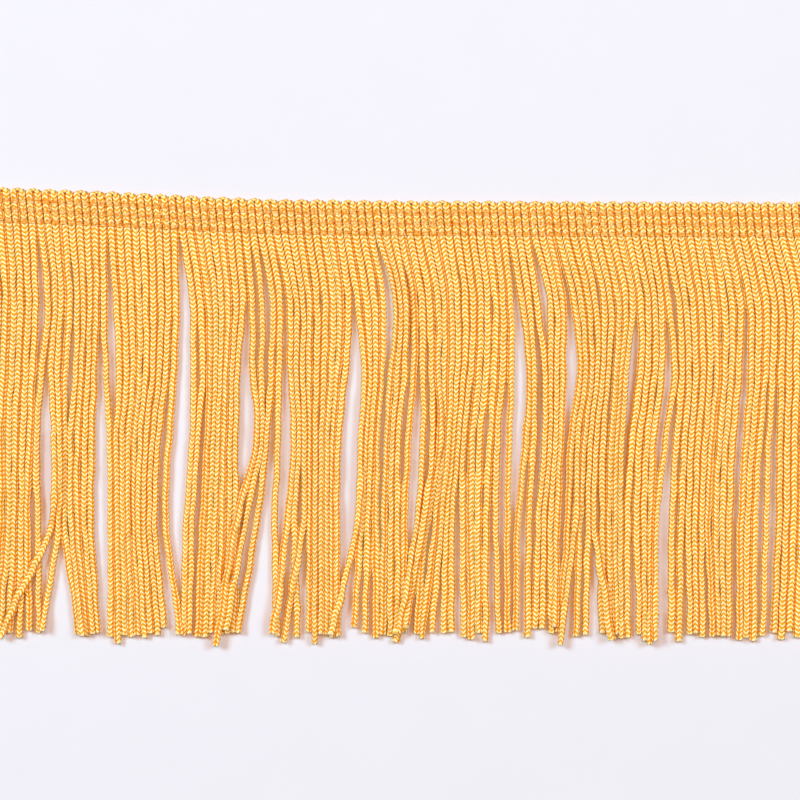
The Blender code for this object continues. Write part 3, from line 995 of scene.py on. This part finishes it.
@dataclass
class Heading:
    """The bound band: cords side by side, each pair joined by a small turn that stands out of the top edge."""

    lay: CordLay
    tube: KnitTube = field(default_factory=KnitTube)
    middle_height_mm: float = 1.0
    half_width_mm: float = 1.25
    half_height_mm: float = 0.92
    shoulder_mm: float = 0.70
    shoulder_reach_mm: float = 0.5
    turn_foot_mm: float = 0.80
    turn_out_mm: float = 0.36
    turn_half_mm: float = 0.68
    turn_thick_mm: float = 0.48
    turn_drop_mm: float = 0.2
    leg_points: int = 60
    turn_points: int = 15
    bindings_mm: tuple[float, ...] = (3.75, 6.55, 9.4)
    tail_mm: float = 0.45
    pinch: float = 0.22
    pinch_reach_mm: float = 0.85
    spin_spread: float = 0.15
    tone_spread: float = 0.02
    seed: int = 33

    def pinched(self, down: np.ndarray) -> np.ndarray:
        """Share of its full size that a column keeps: less by a bell curve round each binding row."""
        rows = np.array(self.bindings_mm)[:, None] * MM
        bells = np.exp(-(((down[None, :] - rows) / (self.pinch_reach_mm * MM)) ** 2))
        return 1.0 - self.pinch * bells.sum(axis=0)

    def drawn_in(self, down: np.ndarray) -> np.ndarray:
        """Share of the way from a column's full size and place to the turn's: a smooth step at the shoulder."""
        reach = self.shoulder_reach_mm * MM
        t = np.clip((self.shoulder_mm * MM + reach - down) / reach, 0.0, 1.0)
        return t * t * (3 - 2 * t)

    def pair_path(self, number: int) -> tuple[np.ndarray, np.ndarray, np.ndarray]:
        """Middle line of two columns and the turn that joins them.

        The line goes up the first column, draws in towards the groove at the top, runs round half an
        ellipse that stands out of the edge, and goes down the second column.

        Args:
            number: The first column's number.

        Returns:
            Points along the cord, half its width and half its height at each.
        """
        groove = number + 0.5
        foot = self.turn_foot_mm * MM
        leg = np.linspace((self.bindings_mm[-1] + self.tail_mm) * MM, foot, self.leg_points)
        turn_offset = self.turn_half_mm * MM / CORD_PITCH
        offset = 0.5 + (turn_offset - 0.5) * self.drawn_in(leg)
        angle = np.linspace(math.pi, 0.0, self.turn_points)[1:-1]
        turn_across = turn_offset * np.cos(angle)
        turn_down = foot - self.turn_out_mm * MM * np.sin(angle)
        across = np.concatenate([-offset, turn_across, offset[::-1]])
        down = np.concatenate([leg, turn_down, leg[::-1]])
        x, y = on_heading(np.full_like(across, groove), down)
        x = x + across * CORD_PITCH
        share = self.pinched(down)
        thin = self.drawn_in(down)
        width = share * self.half_width_mm * MM * (1 - thin) + self.turn_thick_mm * MM * thin
        height = share * self.half_height_mm * MM * (1 - thin) + self.turn_thick_mm * MM * thin
        z = np.full_like(x, self.middle_height_mm * MM) - self.turn_drop_mm * MM * thin
        return np.column_stack([x, y, z]), width, height

    def build(self, finish: bpy.types.Material) -> bpy.types.Object:
        """Builds the columns and turns as one piece.

        Args:
            finish: The cord's material.

        Returns:
            The piece.
        """
        rng = np.random.default_rng(self.seed)
        stitch_rows = float(len(self.tube.row_swell))
        surface = Surface()
        for number in range(FIRST_CORD, LAST_CORD, 2):
            path, width, height = self.pair_path(number)
            spin = WALE_UP + rng.normal(0.0, self.spin_spread)
            grid = self.tube.grid(path, width, height, spin, 0.0, rng)
            surface.add(grid, 1.0 + rng.normal(0.0, self.tone_spread), False, stitch_rows)
        piece = surface.piece("heading_cord", finish)
        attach(piece, "root")
        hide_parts("heading")
        return piece


@dataclass
class BindingRows:
    """Three rows of thread crocheted round the columns: three passes round each column in each row."""

    heading: Heading
    thread_mm: float = 0.24
    thread_stretch: float = 1.15
    spread_mm: float = 0.46
    uneven_mm: float = 0.05
    half_width_mm: float = 0.88
    half_height_mm: float = 0.74
    tilt: float = 0.14
    tilt_spread: float = 0.05
    segments: int = 10
    sides: int = 5
    stitch_rows: float = 4.0
    seed: int = 44

    def ring(self, number: int, down: float, lean: float) -> np.ndarray:
        """Grid of one pass of thread round a column.

        Its middle line is a flat oval round the column, drawn along the column by a share of its sideways
        place so that the pass slants. The thread is a circle, a little stretched along the column, carried
        along that line.

        Args:
            number: The column's number.
            down: Distance below the top edge.
            lean: How far the pass slants, as a share of its sideways reach.

        Returns:
            Points as rows along the thread by columns round it.
        """
        turn = 2 * math.pi * np.arange(self.segments) / self.segments
        across = self.half_width_mm * MM * np.cos(turn)
        rise = self.half_height_mm * MM * np.sin(turn)
        x, y = on_heading(np.full(self.segments, float(number)), down + lean * across)
        middle = np.column_stack([x + across, y, self.heading.middle_height_mm * MM + rise])
        outward = np.column_stack([np.cos(turn), np.zeros_like(turn), np.sin(turn)])
        along_column = np.tile(np.array([0.0, 1.0, 0.0]), (self.segments, 1))
        section = 2 * math.pi * np.arange(self.sides) / self.sides
        grid = middle[:, None, :] + self.thread_mm * MM * (
            np.cos(section)[None, :, None] * outward[:, None, :]
            + self.thread_stretch * np.sin(section)[None, :, None] * along_column[:, None, :]
        )
        return grid

    def build(self, finish: bpy.types.Material) -> bpy.types.Object:
        """Builds all three rows as one piece.

        Args:
            finish: The thread's material.

        Returns:
            The piece.
        """
        rng = np.random.default_rng(self.seed)
        surface = Surface()
        for down_mm in self.heading.bindings_mm:
            for number in range(FIRST_CORD, LAST_CORD + 1):
                for side in (-1, 0, 1):
                    down = (down_mm + side * self.spread_mm + rng.normal(0.0, self.uneven_mm)) * MM
                    lean = side * self.tilt + rng.normal(0.0, self.tilt_spread)
                    surface.add(self.ring(number, down, lean), 1.0, True, self.stitch_rows)
        piece = surface.piece("binding_rows", finish)
        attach(piece, "root")
        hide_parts("heading")
        return piece


@dataclass
class Studio:
    """Pale paper floor, soft lights, and a camera straight above that frames what the photo does.

    Cool lamps stand at the upper left and right, and a warm one hangs overhead. Together they light the
    open floor nearly white, and only the warm one reaches the floor of a narrow gap between cords.
    """

    lens_mm: float = 90.0
    sensor_mm: float = 36.0
    far_m: float = 10.0
    floor_m: float = 1.6
    key_place_m: tuple[float, ...] = (-1.5, 0.66, 1.65)
    key_power: float = 55.5
    key_side_m: float = 0.75
    fill_place_m: tuple[float, ...] = (1.5, 0.58, 1.68)
    fill_power: float = 41.5
    fill_side_m: float = 0.9
    side_tint: str = "#BDE9FF"
    top_place_m: tuple[float, ...] = (0.0, 0.20, 1.60)
    top_power: float = 19.4
    top_side_m: float = 0.9
    top_tint: str = "#FFAA55"
    sky: float = 0.16
    sky_tint: str = "#FAFAFF"

    def add_floor(self) -> None:
        """Lays the floor under the trim."""
        half = self.floor_m / 2
        mesh = bpy.data.meshes.new("floor")
        corners = [(-half, -half, 0.0), (half, -half, 0.0), (half, half, 0.0), (-half, half, 0.0)]
        mesh.from_pydata(corners, [], [(0, 1, 2, 3)])
        floor = bpy.data.objects.new("floor", mesh)
        mesh.materials.append(PaperFloorFinish().make())
        bpy.context.scene.collection.objects.link(floor)

    def add_light(self, name: str, place: Sequence[float], side: float, power: float, tint: str) -> None:
        """Adds a square soft light that faces the trim's middle.

        Args:
            name: The light's name.
            place: Where it stands.
            side: Length of its side.
            power: Its power, in watts.
            tint: Its colour.
        """
        light = bpy.data.lights.new(name, "AREA")
        light.shape = "SQUARE"
        light.size = side
        light.energy = power
        light.color = srgb(tint)[:3]
        lamp = bpy.data.objects.new(name, light)
        lamp.location = place
        direction = -np.array(place, float)
        lamp.rotation_euler = (
            math.acos(-direction[2] / np.linalg.norm(direction)),
            0.0,
            math.atan2(direction[1], direction[0]) - math.pi / 2,
        )
        bpy.context.scene.collection.objects.link(lamp)

    def add_camera(self) -> None:
        """Puts the camera above the photograph's middle, so high that the frame is the photograph's."""
        frame_width = PHOTO_SIDE * PX
        data = bpy.data.cameras.new("camera")
        data.lens = self.lens_mm
        data.sensor_width = self.sensor_mm
        data.clip_end = self.far_m
        camera = bpy.data.objects.new("camera", data)
        x, y = photo_place(np.array(PHOTO_SIDE / 2), np.array(PHOTO_SIDE / 2))
        camera.location = (float(x), float(y), frame_width * self.lens_mm / self.sensor_mm)
        bpy.context.scene.collection.objects.link(camera)
        bpy.context.scene.camera = camera

    def build(self) -> None:
        """Adds the floor, the lights, the sky and the camera."""
        self.add_camera()
        self.add_floor()
        self.add_light("key", self.key_place_m, self.key_side_m, self.key_power, self.side_tint)
        self.add_light("fill", self.fill_place_m, self.fill_side_m, self.fill_power, self.side_tint)
        self.add_light("top", self.top_place_m, self.top_side_m, self.top_power, self.top_tint)
        world = bpy.data.worlds.new("studio")
        world.use_nodes = True
        background = world.node_tree.nodes["Background"]
        background.inputs["Color"].default_value = srgb(self.sky_tint)
        background.inputs["Strength"].default_value = self.sky
        scene = bpy.context.scene
        scene.world = world
        scene.view_settings.view_transform = "Standard"


def main() -> None:
    logging.basicConfig(level=logging.INFO, format="%(message)s")
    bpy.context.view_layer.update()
    Studio().build()
    lay = CordLay()
    cord_finish = RayonCordFinish().make()
    heading = Heading(lay)
    band = heading.build(cord_finish)
    rows = BindingRows(heading).build(BindingThreadFinish().make())
    fringe = Fringe(lay)
    cords = fringe.build(cord_finish)
    fray = CutEnds(fringe).build(cord_finish)


if __name__ == "__main__":
    main()
